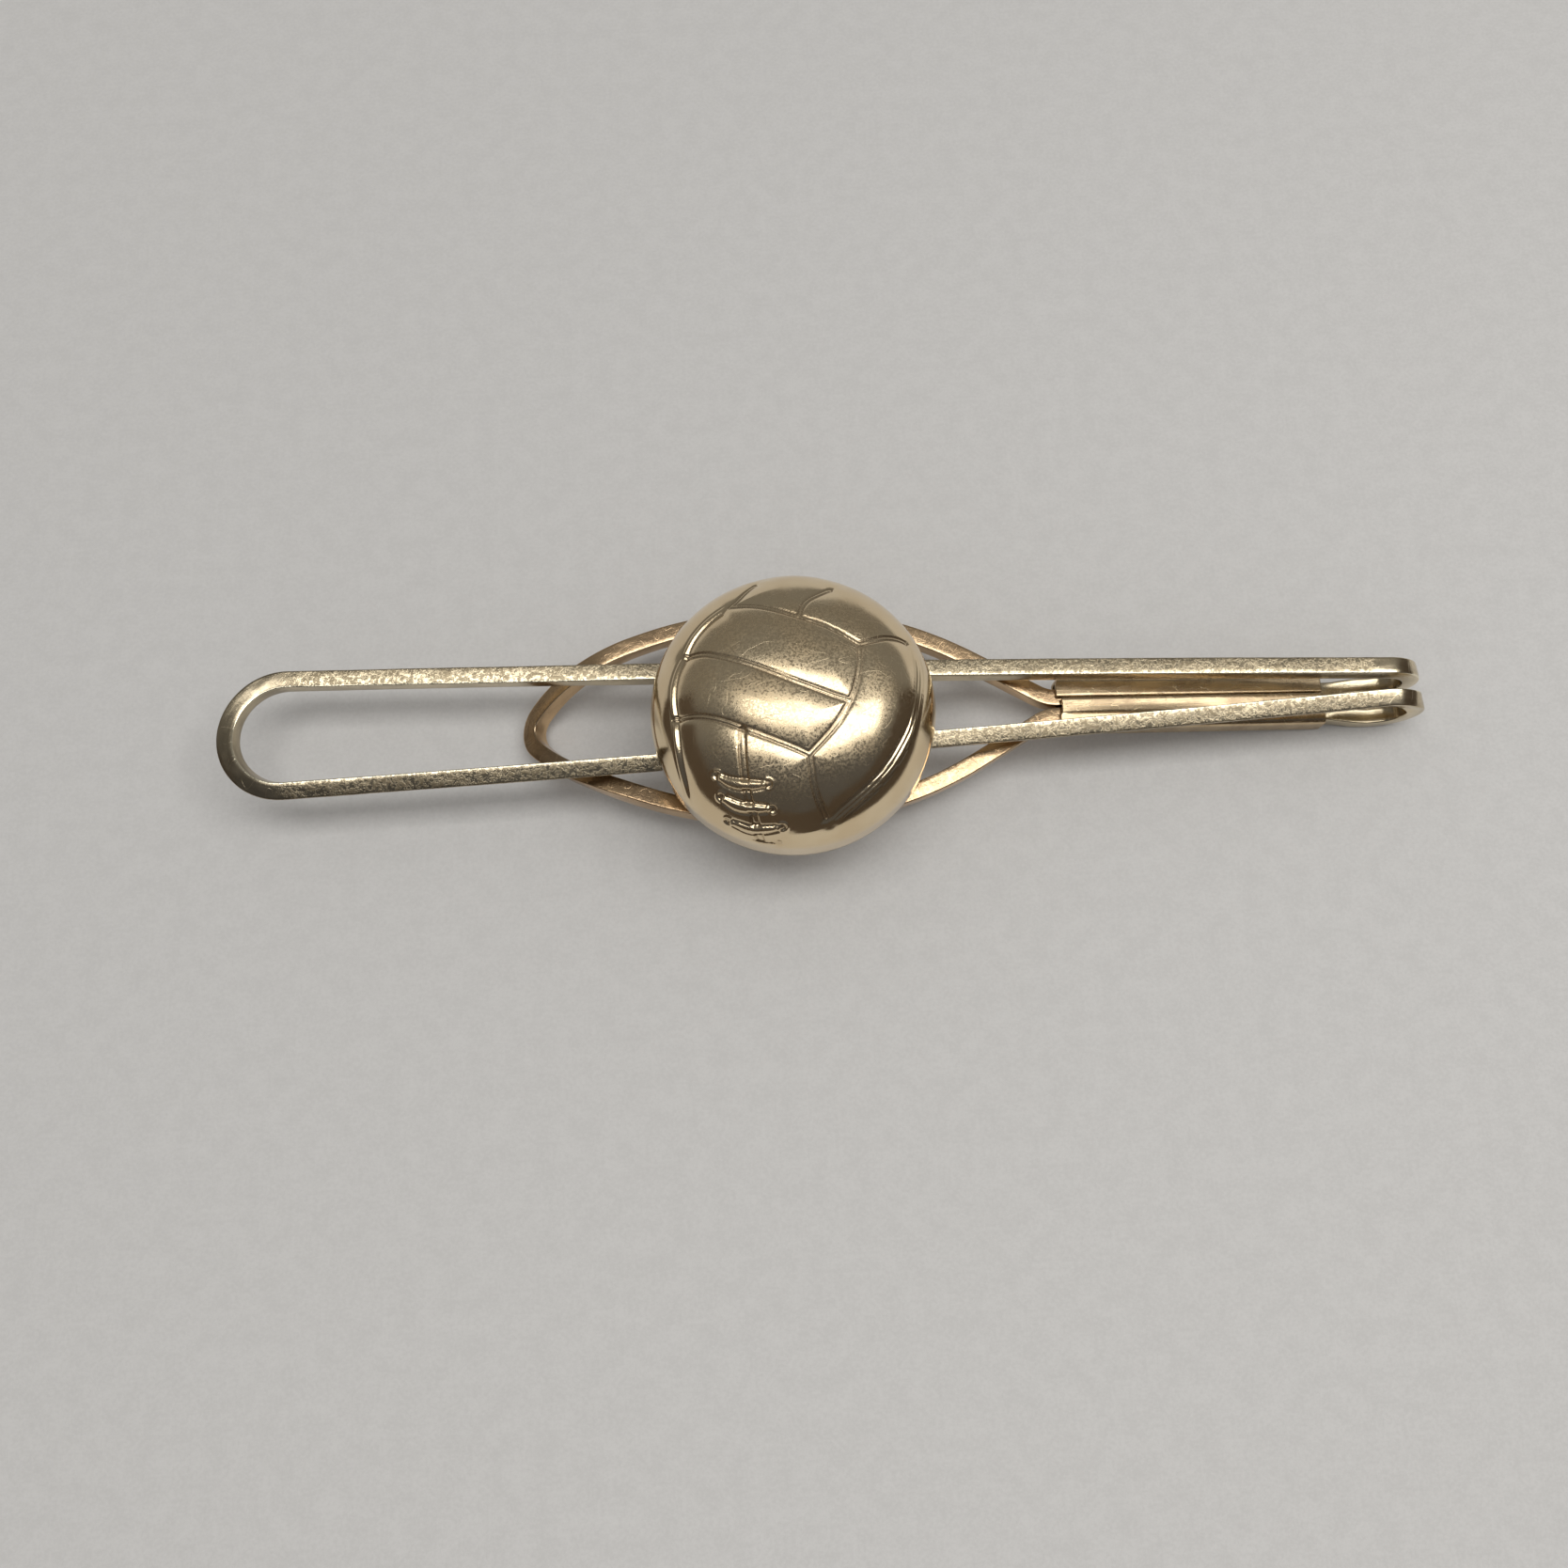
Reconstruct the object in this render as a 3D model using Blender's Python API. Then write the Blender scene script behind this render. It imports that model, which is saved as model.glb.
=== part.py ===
"""Ball tie clip bent from square wire.

The front is a hairpin of square wire: a round end and two legs that taper together. Each leg turns
back under itself in a spring bend and ends in a crimped sheet sleeve. A second wire leaves the other
end of the sleeve, opens into a pointed loop under the legs and flares away from them at its tip, so
that a tie slides in between. A hollow, flattened half ball with a flat backing disc is soldered on the
legs.

Frame: the origin is on the surface that the clip lies on, under the middle of its box. +X runs from
the round end to the spring bends, +Y to the far side and +Z up through the ball.
"""
import math

import bmesh
import bpy
from mathutils import Vector

MM = 0.001
RUNNING_GAP = 0.03 * MM          # between pieces that touch

# Wire
LENGTH = 62.1 * MM               # round end to spring bends, over the wire
WIRE = 0.90 * MM                 # side of the square wire
WIRE_EDGE = 0.09 * MM            # width of the bevel along each corner
WIRE_Y = 0.72 * MM               # the wires' centre line, beside the ball's centre

# Front hairpin
LOOP_RADIUS = 2.95 * MM          # round end, to the centre of the wire
LEG_TAPER = 0.0251               # how fast each leg closes in at the round end
LEG_BOW = 0.2247                 # how much faster it closes with each metre, from there on

# Spring bends and the strands that return under the legs
BEND_RADIUS = 1.55 * MM          # half the bend's height, to the centre of the wire
BEND_RUN = 1.80 * MM             # how far the bend reaches past the legs, to the centre of the wire
SPLIT_GAP = 0.30 * MM            # at the outermost point, where the joint parts the wire
STRAND_RISE = math.radians(5.0)  # slope of the strands and of the sleeve
STRAND_HALF_GAP = 0.60 * MM      # inside the sleeve
STRAND_SETTLE = 2.4 * MM         # run over which the strands close in to the sleeve

# Crimped sleeve
SLEEVE_LEFT = 12.15 * MM
SLEEVE_LENGTH = 14.20 * MM
SLEEVE_SHEET = 0.20 * MM
SLEEVE_SEAM = 0.30 * MM          # slot between the two folded flaps
SLEEVE_SEAM_Y = 0.38 * MM        # the slot lies this far to the far side of the sleeve's middle
SLEEVE_CORNER = 0.18 * MM
SLEEVE_SLACK = 0.24 * MM         # spare room beside the far strand
TAIL_GAP = 0.50 * MM             # between the wire ends that meet inside it

# Rear loop, outwards from the sleeve: heading after each bend, and the radius of that bend
TAIL_HALF_GAP = 0.50 * MM
MOUTH_BEND = (math.radians(30.7), 2.0 * MM)
ARM_STRAIGHT = 3.90 * MM
ARM_BENDS = ((0.0, 19.0 * MM), (math.radians(-28.0), 23.0 * MM), (math.radians(-46.0), 9.0 * MM))
LOOP_SKEW = math.tan(math.radians(0.7))
CONTACT_X = -9.9 * MM            # where the loop lies against the legs, and its flare starts
CONTACT_GAP = 0.05 * MM
FLARE_DROP = 2.10 * MM
FLARE_RUN = 5.45 * MM

# Ball, backing disc and solder
BALL_X = -1.65 * MM
BALL_RADIUS = 7.08 * MM
DOME_RISE = 4.00 * MM            # the curved top over the skirt: the ball is flattened
DOME_SHEET = 0.40 * MM
SKIRT_HEIGHT = 1.26 * MM         # straight part below the curved top
DISC_RADIUS = 7.00 * MM
DISC_THICKNESS = 0.40 * MM
VENT_RADIUS = 0.50 * MM          # lets hot air out of the ball while it is soldered
SOLDER_SIZE = 0.45 * MM
SOLDER_LENGTH = 12.4 * MM

# How finely round shapes are cut
ARC_STEP = math.radians(11.25)
ARC_LENGTH = 1.6 * MM
BALL_SEGMENTS = 48
BALL_RINGS = 12
LEG_STEPS = 10

# Sizes that follow from the ones above
ROUND_END_X = -LENGTH / 2 + WIRE / 2 + LOOP_RADIUS
BEND_X = LENGTH / 2 - WIRE / 2 - BEND_RUN
BEND_Z = WIRE / 2 + BEND_RADIUS
LEG_Z = BEND_Z + BEND_RADIUS
LEG_TOP = LEG_Z + WIRE / 2
BEND_PAST = math.atan(BEND_RUN / BEND_RADIUS * math.tan(STRAND_RISE))  # from the bottom on to the strand
STRAND_START_X = BEND_X - BEND_RUN * math.sin(BEND_PAST)
STRAND_START_Z = BEND_Z - BEND_RADIUS * math.cos(BEND_PAST)
SLEEVE_RIGHT = SLEEVE_LEFT + SLEEVE_LENGTH * math.cos(STRAND_RISE)
SLEEVE_MIDDLE = (SLEEVE_LEFT + SLEEVE_RIGHT) / 2
DISC_BOTTOM = LEG_TOP + RUNNING_GAP
DOME_BOTTOM = DISC_BOTTOM + DISC_THICKNESS + RUNNING_GAP
BALL_Z = DOME_BOTTOM + SKIRT_HEIGHT

GOLD = (0.80, 0.63, 0.35, 1.0)
WORN_GOLD = (0.74, 0.60, 0.37, 1.0)
BRONZE_GOLD = (0.70, 0.52, 0.30, 1.0)
SOLDER_GREY = (0.62, 0.55, 0.40, 1.0)


def clear_scene():
    for item in list(bpy.data.objects):
        bpy.data.objects.remove(item, do_unlink=True)


def metal(name, colour, roughness):
    material = bpy.data.materials.new(name)
    material.use_nodes = True
    shader = material.node_tree.nodes["Principled BSDF"]
    shader.inputs["Base Color"].default_value = colour
    shader.inputs["Metallic"].default_value = 1.0
    shader.inputs["Roughness"].default_value = roughness
    return material


def add_piece(name, bm, material, origin, parent=None, round_piece=True):
    """Turn a bmesh in world coordinates into an object whose origin is at `origin`."""
    bmesh.ops.recalc_face_normals(bm, faces=bm.faces)
    bmesh.ops.translate(bm, verts=bm.verts, vec=-origin)
    mesh = bpy.data.meshes.new(name)
    bm.to_mesh(mesh)
    bm.free()
    mesh.materials.append(material)
    if round_piece:
        mesh.shade_smooth()
        mesh.set_sharp_from_angle(angle=math.radians(35.0))
    piece = bpy.data.objects.new(name, mesh)
    piece.location = origin if parent is None else origin - parent.location
    piece.parent = parent
    bpy.context.collection.objects.link(piece)
    return piece


# Shapes made from a section and a path

def wire_section():
    """The square section of the wire with bevelled corners, as (sideways, up) offsets."""
    half = WIRE / 2
    flat = half - WIRE_EDGE
    corners = ((1, 1), (-1, 1), (-1, -1), (1, -1))
    section = []
    for side, up in corners:
        first, second = (side * half, up * flat), (side * flat, up * half)
        section += [first, second] if side * up > 0 else [second, first]
    return section


def sweep(path, section):
    """Carry a section along a path of (point, up) pairs and cap both ends."""
    bm = bmesh.new()
    points = [point for point, up in path]
    rings = []
    for index, (point, up) in enumerate(path):
        ahead = points[min(index + 1, len(points) - 1)]
        behind = points[max(index - 1, 0)]
        along = (ahead - behind).normalized()
        upright = (up - along * up.dot(along)).normalized()
        sideways = along.cross(upright)
        rings.append([bm.verts.new(point + sideways * s + upright * u) for s, u in section])
    bm.faces.new(rings[0])
    bm.faces.new(rings[-1])
    for first, second in zip(rings, rings[1:]):
        for index in range(len(section)):
            after = (index + 1) % len(section)
            bm.faces.new((first[index], first[after], second[after], second[index]))
    return bm


def lathe(profile, centre_x):
    """Turn a closed profile of (radius, height) about a vertical axis through the ball's centre."""
    bm = bmesh.new()
    columns = []
    for radius, height in profile:
        if radius == 0.0:
            columns.append([bm.verts.new((centre_x, 0.0, height))] * BALL_SEGMENTS)
            continue
        ring = []
        for index in range(BALL_SEGMENTS):
            angle = math.tau * index / BALL_SEGMENTS
            ring.append(bm.verts.new((centre_x + radius * math.cos(angle), radius * math.sin(angle), height)))
        columns.append(ring)
    for lower, upper in zip(columns, columns[1:] + columns[:1]):
        for index in range(BALL_SEGMENTS):
            after = (index + 1) % BALL_SEGMENTS
            corners = dict.fromkeys((lower[index], lower[after], upper[after], upper[index]))
            if len(corners) > 2:
                bm.faces.new(tuple(corners))
    return bm


def arc_angles(start, end, radius):
    turn = abs(end - start)
    steps = max(1, round(turn / ARC_STEP), round(turn * radius / ARC_LENGTH))
    return [start + (end - start) * index / steps for index in range(steps + 1)]


# Wire routes

def leg_half_gap(x):
    run = x - ROUND_END_X
    return LOOP_RADIUS - LEG_TAPER * run - LEG_BOW * run * run


def bend_point(angle, y):
    """A point of a spring bend, with the direction that points out of the bend."""
    out = Vector((math.cos(angle) / BEND_RUN, 0.0, math.sin(angle) / BEND_RADIUS)).normalized()
    return Vector((BEND_X + BEND_RUN * math.cos(angle), y, BEND_Z + BEND_RADIUS * math.sin(angle))), out


def front_frame_path():
    """Half a spring bend, the far leg, the round end, the near leg and half the other spring bend."""
    split = SPLIT_GAP / 2 / BEND_RADIUS
    up = Vector((0.0, 0.0, 1.0))
    bend_half_gap = leg_half_gap(BEND_X)
    half = [bend_point(angle, bend_half_gap) for angle in arc_angles(split, math.pi / 2, BEND_RADIUS)]
    for index in range(1, LEG_STEPS + 1):
        x = BEND_X + (ROUND_END_X - BEND_X) * index / LEG_STEPS
        half.append((Vector((x, leg_half_gap(x), LEG_Z)), up))
    for angle in arc_angles(0.0, math.pi / 2, LOOP_RADIUS)[1:]:
        x = ROUND_END_X - LOOP_RADIUS * math.sin(angle)
        half.append((Vector((x, LOOP_RADIUS * math.cos(angle), LEG_Z)), up))
    mirrored = [(Vector((p.x, -p.y, p.z)), up) for p, up in reversed(half[:-1])]
    offset = Vector((0.0, WIRE_Y, 0.0))
    return [(p + offset, up) for p, up in half + mirrored]


def strand_height(x):
    return STRAND_START_Z + (STRAND_START_X - x) * math.tan(STRAND_RISE)


def strand_up():
    return Vector((math.sin(STRAND_RISE), 0.0, math.cos(STRAND_RISE)))


def strand_half_gap(x):
    """Half the distance between the strands, closing in smoothly from the bends to the sleeve."""
    share = min(1.0, max(0.0, (STRAND_START_X - x) / STRAND_SETTLE))
    smooth = share * share * (3.0 - 2.0 * share)
    start = leg_half_gap(BEND_X)
    return start + (STRAND_HALF_GAP - start) * smooth


def return_strand_path(side):
    """The lower half of a spring bend and the strand that ends in the middle of the sleeve."""
    split = SPLIT_GAP / 2 / BEND_RADIUS
    start_y = WIRE_Y + side * leg_half_gap(BEND_X)
    angles = arc_angles(-split, -math.pi / 2, BEND_RADIUS)
    path = [bend_point(angle, start_y) for angle in angles]
    path.append(bend_point(-math.pi / 2 - BEND_PAST, start_y))
    path = [(point, -out) for point, out in path]
    stops = [STRAND_START_X - STRAND_SETTLE * share for share in (0.25, 0.5, 0.75, 1.0)]
    for x in stops + [SLEEVE_MIDDLE + TAIL_GAP / 2]:
        path.append((Vector((x, WIRE_Y + side * strand_half_gap(x), strand_height(x))), strand_up()))
    return path


def loop_outline():
    """Half the rear loop as (distance from the sleeve, half width), from the sleeve to the tip."""
    reach, width, heading = 0.0, TAIL_HALF_GAP, 0.0
    outline = [(reach, width)]

    def bend_to(new_heading, bend_radius):
        nonlocal reach, width, heading
        turn = math.copysign(bend_radius, new_heading - heading)
        for target in arc_angles(heading, new_heading, bend_radius)[1:]:
            reach += turn * (math.sin(target) - math.sin(heading))
            width += turn * (math.cos(heading) - math.cos(target))
            heading = target
            outline.append((reach, width))

    bend_to(*MOUTH_BEND)
    reach += ARM_STRAIGHT * math.cos(heading)
    width += ARM_STRAIGHT * math.sin(heading)
    outline.append((reach, width))
    for new_heading, bend_radius in ARM_BENDS:
        bend_to(new_heading, bend_radius)
    bend_to(-math.pi / 2, width / math.cos(heading))
    return outline


def loop_height(x):
    """Height of the rear loop: level with the sleeve's mouth, against the legs, then flared down."""
    mouth = strand_height(SLEEVE_LEFT)
    rise = LEG_Z - WIRE - CONTACT_GAP - mouth
    height = mouth + rise * (SLEEVE_LEFT - x) / (SLEEVE_LEFT - CONTACT_X)
    flare = max(0.0, (CONTACT_X - x) / FLARE_RUN)
    return height - FLARE_DROP * flare * flare


def loop_up(x):
    step = 0.1 * MM
    slope = (loop_height(x + step) - loop_height(x - step)) / (2 * step)
    return Vector((-slope, 0.0, 1.0)).normalized()


def rear_loop_path():
    """One tail in the sleeve, the far arm, the tip, the near arm and the other tail."""
    half = []
    for x in (SLEEVE_MIDDLE - TAIL_GAP / 2, SLEEVE_LEFT + WIRE):
        half.append((x, TAIL_HALF_GAP, strand_height(x), strand_up()))
    for reach, width in loop_outline():
        x = SLEEVE_LEFT - reach
        half.append((x, width, loop_height(x), loop_up(x)))
    sides = [(1.0, item) for item in half] + [(-1.0, item) for item in reversed(half[:-1])]
    path = []
    for side, (x, width, z, up) in sides:
        y = WIRE_Y + side * width + LOOP_SKEW * max(0.0, SLEEVE_LEFT - x)
        path.append((Vector((x, y, z)), up))
    return path


# Pieces

def front_frame_wire(material):
    bm = sweep(front_frame_path(), wire_section())
    return add_piece("front_frame_wire", bm, material, Vector((0.0, WIRE_Y, LEG_Z)))


def return_strand(name, side, material, hinge):
    bm = sweep(return_strand_path(side), wire_section())
    return add_piece(name, bm, material, hinge.location.copy(), hinge)


def rear_loop_wire(material, hinge):
    bm = sweep(rear_loop_path(), wire_section())
    return add_piece("rear_loop_wire", bm, material, hinge.location.copy(), hinge)


def crimp_sleeve(material, hinge):
    """A sheet folded round the strands, its two flaps meeting over the gap between them."""
    inner_y = STRAND_HALF_GAP + WIRE / 2 + RUNNING_GAP
    inner_z = WIRE / 2 + RUNNING_GAP
    outer_y, outer_z, corner = inner_y + SLEEVE_SHEET, inner_z + SLEEVE_SHEET, SLEEVE_CORNER
    far_inner, far_outer = inner_y + SLEEVE_SLACK, outer_y + SLEEVE_SLACK
    far_edge, near_edge = SLEEVE_SEAM_Y + SLEEVE_SEAM / 2, SLEEVE_SEAM_Y - SLEEVE_SEAM / 2
    outline = [(far_edge, outer_z), (far_outer - corner, outer_z), (far_outer, outer_z - corner)]
    outline += [(far_outer, corner - outer_z), (far_outer - corner, -outer_z), (corner - outer_y, -outer_z)]
    outline += [(-outer_y, corner - outer_z), (-outer_y, outer_z - corner), (corner - outer_y, outer_z)]
    outline += [(near_edge, outer_z), (near_edge, inner_z), (-inner_y, inner_z), (-inner_y, -inner_z)]
    outline += [(far_inner, -inner_z), (far_inner, inner_z), (far_edge, inner_z)]
    start = Vector((SLEEVE_LEFT, WIRE_Y, strand_height(SLEEVE_LEFT)))
    end = Vector((SLEEVE_RIGHT, WIRE_Y, strand_height(SLEEVE_RIGHT)))
    bm = sweep([(start, strand_up()), (end, strand_up())], outline)
    return add_piece("crimp_sleeve", bm, material, hinge.location.copy(), hinge, round_piece=False)


def ball_dome(material):
    """A flattened half ball of thin sheet with a short straight skirt, open below."""
    inner, inner_rise = BALL_RADIUS - DOME_SHEET, DOME_RISE - DOME_SHEET
    angles = [math.pi / 2 * index / BALL_RINGS for index in range(BALL_RINGS)]
    profile = [(BALL_RADIUS, DOME_BOTTOM)]
    profile += [(BALL_RADIUS * math.cos(a), BALL_Z + DOME_RISE * math.sin(a)) for a in angles]
    profile.append((0.0, BALL_Z + DOME_RISE))
    profile.append((0.0, BALL_Z + inner_rise))
    profile += [(inner * math.cos(a), BALL_Z + inner_rise * math.sin(a)) for a in reversed(angles)]
    profile.append((inner, DOME_BOTTOM))
    origin = Vector((BALL_X, 0.0, BALL_Z))
    return add_piece("ball_dome", lathe(profile, BALL_X), material, origin)


def ball_backing_disc(material):
    top = DISC_BOTTOM + DISC_THICKNESS
    profile = [(VENT_RADIUS, DISC_BOTTOM), (DISC_RADIUS, DISC_BOTTOM), (DISC_RADIUS, top), (VENT_RADIUS, top)]
    origin = Vector((BALL_X, 0.0, DISC_BOTTOM))
    return add_piece("ball_backing_disc", lathe(profile, BALL_X), material, origin)


def solder_bead(name, side, material):
    """A fillet along the outer side of one leg, under the backing disc."""
    near = side * (WIRE / 2 + RUNNING_GAP)
    far = side * (WIRE / 2 + RUNNING_GAP + SOLDER_SIZE)
    top = WIRE / 2
    section = [(-near, top), (-far, top), (-near, top - SOLDER_SIZE)]
    path = []
    for share in (-0.5, 0.0, 0.5):
        x = BALL_X + SOLDER_LENGTH * share
        path.append((Vector((x, WIRE_Y + side * leg_half_gap(x), LEG_Z)), Vector((0.0, 0.0, 1.0))))
    origin = path[1][0].copy()
    return add_piece(name, sweep(path, section), material, origin, round_piece=False)


def hinge_empty():
    """Marks the axis that stands in for the flexing of the spring bends, along Y."""
    empty = bpy.data.objects.new("spring_hinge", None)
    reach = BEND_RUN * 2.0 / math.pi
    empty.location = (BEND_X + reach, WIRE_Y, BEND_Z)
    bpy.context.collection.objects.link(empty)
    return empty


def main():
    clear_scene()
    wire_gold = metal("worn_gold_wire", WORN_GOLD, 0.30)
    loop_gold = metal("bronze_gold_wire", BRONZE_GOLD, 0.32)
    sleeve_gold = metal("bronze_gold_sheet", BRONZE_GOLD, 0.28)
    ball_gold = metal("polished_gold", GOLD, 0.16)
    solder = metal("solder", SOLDER_GREY, 0.45)

    front_frame_wire(wire_gold)
    ball_dome(ball_gold)
    ball_backing_disc(ball_gold)
    solder_bead("solder_far", 1.0, solder)
    solder_bead("solder_near", -1.0, solder)

    hinge = hinge_empty()
    return_strand("return_strand_far", 1.0, wire_gold, hinge)
    return_strand("return_strand_near", -1.0, wire_gold, hinge)
    rear_loop_wire(loop_gold, hinge)
    crimp_sleeve(sleeve_gold, hinge)


main()
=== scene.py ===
import math

import bpy
import numpy as np
from mathutils import Matrix, Vector, noise


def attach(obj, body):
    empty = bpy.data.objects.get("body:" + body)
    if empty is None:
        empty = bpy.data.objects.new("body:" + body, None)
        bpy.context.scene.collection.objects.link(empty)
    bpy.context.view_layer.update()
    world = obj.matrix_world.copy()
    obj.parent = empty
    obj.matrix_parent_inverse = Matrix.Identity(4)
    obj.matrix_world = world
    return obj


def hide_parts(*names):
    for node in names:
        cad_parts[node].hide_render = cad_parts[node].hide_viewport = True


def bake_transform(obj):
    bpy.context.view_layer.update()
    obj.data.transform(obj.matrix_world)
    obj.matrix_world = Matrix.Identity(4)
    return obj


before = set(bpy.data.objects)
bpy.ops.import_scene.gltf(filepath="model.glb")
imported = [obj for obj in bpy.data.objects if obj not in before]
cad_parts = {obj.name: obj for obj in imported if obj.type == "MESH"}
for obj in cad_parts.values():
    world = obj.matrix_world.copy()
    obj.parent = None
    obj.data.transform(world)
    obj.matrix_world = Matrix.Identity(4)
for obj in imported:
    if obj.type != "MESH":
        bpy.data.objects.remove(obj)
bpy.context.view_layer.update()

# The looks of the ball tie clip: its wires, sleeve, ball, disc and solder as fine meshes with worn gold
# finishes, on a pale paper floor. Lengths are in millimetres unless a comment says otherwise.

MM = 0.001

# Wire, as in the CAD model
LENGTH = 62.1
WIRE = 0.90
INNER_CORNER = 0.045             # radius of the wire's edges towards the middle of the clip
OUTER_CORNER = 0.07
WIRE_CROWN = 0.012               # how far each face of the wire bulges between its edges
RUBBED_EDGE = 0.10               # width of the worn strip along the inner edges
RUBBED_SLOPE = math.tan(math.radians(8.0))
WIRE_Y = 0.72
LOOP_RADIUS = 2.95
LEG_TAPER = 0.0251
LEG_BOW = 0.2247e-3
BEND_RADIUS = 1.55
BEND_RUN = 1.80
STRAND_RISE = math.radians(5.0)
STRAND_HALF_GAP = 0.60
STRAND_SETTLE = 2.4

# Sleeve
SLEEVE_LEFT = 12.15
SLEEVE_LENGTH = 14.20
SLEEVE_SHEET = 0.20
SLEEVE_CORNER = 0.22             # radius of the folds, to the middle of the sheet
SLEEVE_SLACK = 0.24              # spare room beside the far strand
SLEEVE_SEAM_Y = 0.38             # the seam lies this far to the far side of the sleeve's middle
TAIL_GAP = 0.50

# Rear loop
TAIL_HALF_GAP = 0.50
MOUTH_BEND = (math.radians(30.7), 2.0)
ARM_STRAIGHT = 3.90
ARM_BENDS = ((0.0, 19.0), (math.radians(-28.0), 23.0), (math.radians(-46.0), 9.0))
LOOP_SKEW = math.tan(math.radians(0.7))
CONTACT_X = -9.9
CONTACT_GAP = 0.05
FLARE_DROP = 2.10
FLARE_RUN = 5.45

# Ball, disc and solder
BALL_X = -1.65
BALL_RADIUS = 7.08
DOME_RISE = 4.00
DOME_SHEET = 0.40
SKIRT_HEIGHT = 1.26
DISC_RADIUS = 7.00
DISC_THICKNESS = 0.40
VENT_RADIUS = 0.50
SOLDER_SIZE = 0.45
SOLDER_LENGTH = 12.4
SOLDER_LARGEST = 1.12            # no lump is larger than this many times the fillet's size
SOLDER_SMALLEST = 0.01           # size at the fillet's ends
RUNNING_GAP = 0.03

ROUND_END_X = -LENGTH / 2 + WIRE / 2 + LOOP_RADIUS
BEND_X = LENGTH / 2 - WIRE / 2 - BEND_RUN
BEND_Z = WIRE / 2 + BEND_RADIUS
LEG_Z = BEND_Z + BEND_RADIUS
BEND_PAST = math.atan(BEND_RUN / BEND_RADIUS * math.tan(STRAND_RISE))
STRAND_START_X = BEND_X - BEND_RUN * math.sin(BEND_PAST)
STRAND_START_Z = BEND_Z - BEND_RADIUS * math.cos(BEND_PAST)
SLEEVE_RIGHT = SLEEVE_LEFT + SLEEVE_LENGTH * math.cos(STRAND_RISE)
SLEEVE_MIDDLE = (SLEEVE_LEFT + SLEEVE_RIGHT) / 2
DISC_BOTTOM = LEG_Z + WIRE / 2 + RUNNING_GAP
DOME_BOTTOM = DISC_BOTTOM + DISC_THICKNESS + RUNNING_GAP
BALL_Z = DOME_BOTTOM + SKIRT_HEIGHT
DOME_SHAPE = np.array([BALL_RADIUS, BALL_RADIUS, DOME_RISE])
BALL_PLACE = (BALL_X, 0.0, 0.0)

# How finely the meshes are cut
WIRE_STEP = 0.10
CORNER_CUTS = 6
SHEET_EDGE_CUTS = 5
DOME_CUTS = 288
INNER_CUTS = 36
DISC_CUTS = 240

# Lean of the wires' top faces in degrees, at the right and at the left. On the legs and the rear loop,
# positive leans a face towards the clip's middle line. Both strands lean towards -Y.
FAR_LEG_LEAN = (-1.2, 4.0)
NEAR_LEG_LEAN = (-14.4, -17.8)
NEAR_LOOP_LEAN = (-2.0, 6.0)
STRAND_LEAN = 5.0
STRAND_TOP = 2.4                 # a spring bend counts as strand below this height
LEG_BASE = 3.2                   # and as leg above this one

# Shape of the folded sleeve
FAR_FLAP = 0.15                  # how far the far flap reaches past the seam
NEAR_FLAP = -0.10                # the near flap stops short of it
NEAR_FLAP_MIDDLE = -0.45
NEAR_FLAP_RISE = (-0.02, 0.06, 0.10)     # at its fold, its middle and its free edge
FAR_FLAP_START = -0.13           # each flap starts this far to the right of the sleeve's left end
NEAR_FLAP_START = 0.12
FLAP_BULGE = 0.05
FLAP_BULGE_SHARE = 0.625         # the near flap bulges along this much of its length

# The ball's stamped pattern
SEAM_SINK = 0.17                 # a panel sinks this far towards a seam
SEAM_SLOPE = 0.75                # within about this distance of it
ARC_SLOPE = 0.80
CREASE = 0.10                    # each seam is a low ridge between two creases at this distance
CREASE_DEPTH = 0.055
CREASE_WIDTH = 0.05
RIDGE_HEIGHT = 0.02
RIDGE_WIDTH = 0.06
OPEN_SEAM_ANGLE = 58.0           # a seam that ends further from the top than this fades out there
SLIT_DEPTH = 0.10
SLIT_EDGE = 0.16
LACE_HALF_WIDTH = 0.10           # at a lace's ends
LACE_SWELL = 0.15                # and how much wider it is in its middle
LACE_RISE = 0.36                 # height for each unit of half width
EYELET = 0.24                    # radius of the raised ring at each end of a lace

# The ball's seams. Each point is the angle from the ball's top towards +X and towards +Y, in degrees,
# before the ball is flattened.
LEFT_ARC = ((-28.5, 46), (-38, 38.5), (-46, 30), (-51, 20.5), (-54.5, 10.5), (-56, 0), (-56, -18),
            (-57, -34), (-59, -46), (-65, -62))
RIGHT_ARC = ((65, 27), (63.5, 14), (61, 3.5), (57.5, -8.5), (54, -18.5), (48.5, -28), (42, -37.5),
             (34, -46), (26, -53.5), (16, -64))
SEAMS = (
    ((-27, 45), (-17, 42), (-8, 38), (4, 32), (17, 26), (29, 19)),
    ((29, 19), (28.5, 11.5), (27, 4), (24.5, -3.5), (21, -10), (15.5, -18), (5.5, -28.5)),
    ((5.5, -28.5), (7, -41), (9, -49.5), (12, -58), (15, -66)),
    ((-50, 22), (-38.5, 19.5), (-32, 17), (-18, 11), (-2, 3), (13, -3.5), (23, -7)),
    ((-56, -8.5), (-43, -9), (-35, -10.5), (-27.5, -13), (-14, -19), (-1, -25), (5.5, -28.5)),
    ((-27, 45), (-24, 48.5), (-20, 56.5), (-14, 68)),
    ((4, 32), (6, 38), (9.5, 43.5), (16, 49.5), (27, 60)),
    ((29, 19), (36.5, 22), (44, 25), (53.5, 27), (65, 27.5)),
)
LACE_SLIT = ((-21, -17), (-21.5, -22), (-22, -34), (-22, -50), (-21, -59), (-21.5, -78))
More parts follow.
